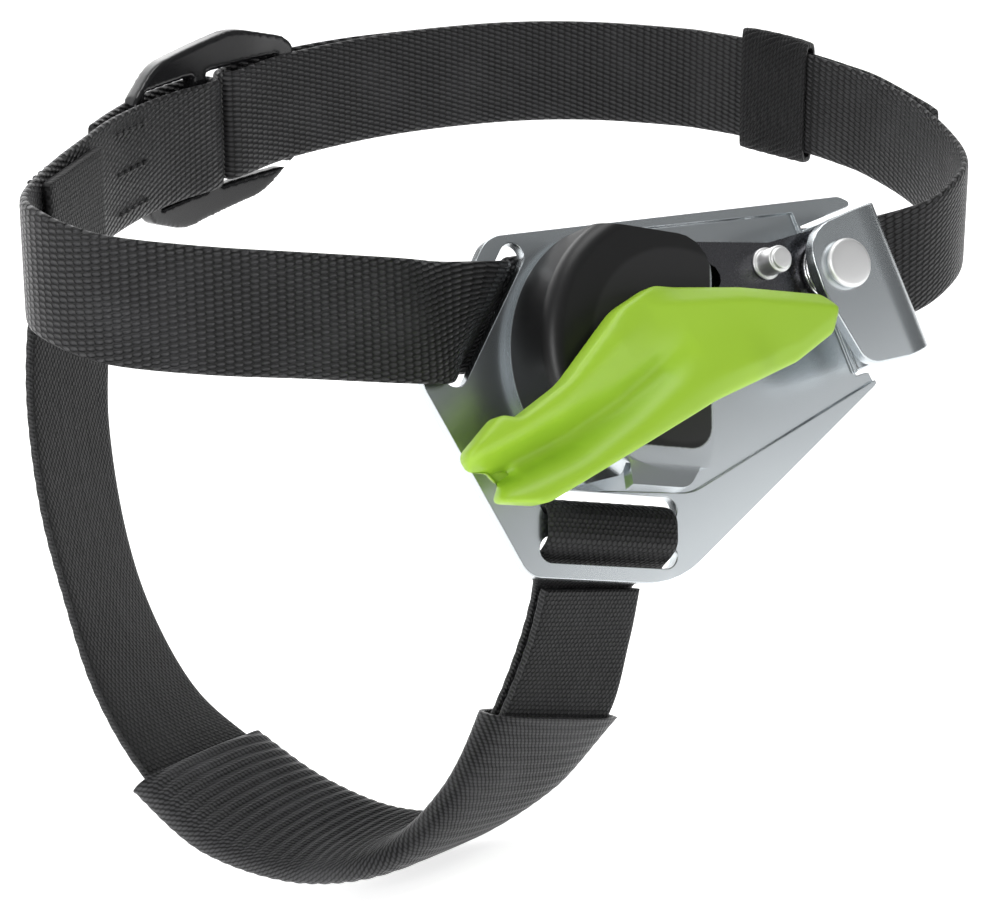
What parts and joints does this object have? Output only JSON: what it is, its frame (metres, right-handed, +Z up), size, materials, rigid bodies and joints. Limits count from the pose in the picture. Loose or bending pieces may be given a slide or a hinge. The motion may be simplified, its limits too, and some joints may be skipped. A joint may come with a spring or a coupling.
{
  "type": "foot ascender",
  "caption": "Foot-mounted rope clamp: pressed plate with rope channel, sprung toothed cam with release lever, buckled ankle strap and sole strap with sleeve.",
  "frame": {"origin": "middle of the ankle strap's loop, about on the leg's axis", "axes": "+Z up along the leg, +X towards the folded ear and cam pivot, -Y outward from the leg through the frame plate"},
  "size_m": [0.1892, 0.1241, 0.1291],
  "materials": {
    "plate_steel": "satin, zinc plated",
    "cam_steel": "dark polished steel",
    "bushing_brass": "satin",
    "rivet_steel": "satin",
    "spring_steel": "satin",
    "lever_plastic": "moulded, fine texture",
    "ankle_webbing": "woven",
    "sole_webbing": "woven, twisted edges",
    "sleeve_webbing": "ribbed tube",
    "keeper_elastic": "ribbed elastic",
    "buckle_plastic": "gloss",
    "thread": "matt"
  },
  "bodies": {
    "frame": {"frame_plate": "plate_steel", "rope_channel": "plate_steel", "folded_ear": "plate_steel", "cam_rivet": "rivet_steel", "cam_washer": "rivet_steel", "cam_spring": "spring_steel", "ankle_strap_front": "ankle_webbing", "ankle_strap_rear": "ankle_webbing", "strap_tail": "ankle_webbing", "buckle_strap": "ankle_webbing", "buckle": "buckle_plastic", "sole_strap_outer": "sole_webbing", "sole_strap_inner": "sole_webbing", "crossbar_loop": "sole_webbing", "sole_sleeve": "sleeve_webbing", "junction_stitching": "thread", "buckle_stitching": "thread", "tail_stitching": "thread"},
    "cam_lever": {"cam": "cam_steel", "cam_bushing": "bushing_brass", "cam_stud": "rivet_steel", "lever": "lever_plastic", "lever_screws": "spring_steel"},
    "keeper": {"strap_keeper": "keeper_elastic"}
  },
  "joints": [
    {"name": "cam_pivot", "type": "hinge", "parent": "frame", "child": "cam_lever", "pos_m": [0.057, -0.05, -0.008], "axis": [0, -0.9336, 0.3584], "range_deg": [0, 38], "stiffness_Nm_per_rad": 0.12, "springref_deg": -34.38},
    {"name": "keeper_slide", "type": "hinge", "parent": "frame", "child": "keeper", "pos_m": [0.0453, -0.0253, -0.0022], "axis": [-0.1, -0.34, 0.9351], "range_deg": [-6, 6]}
  ]
}
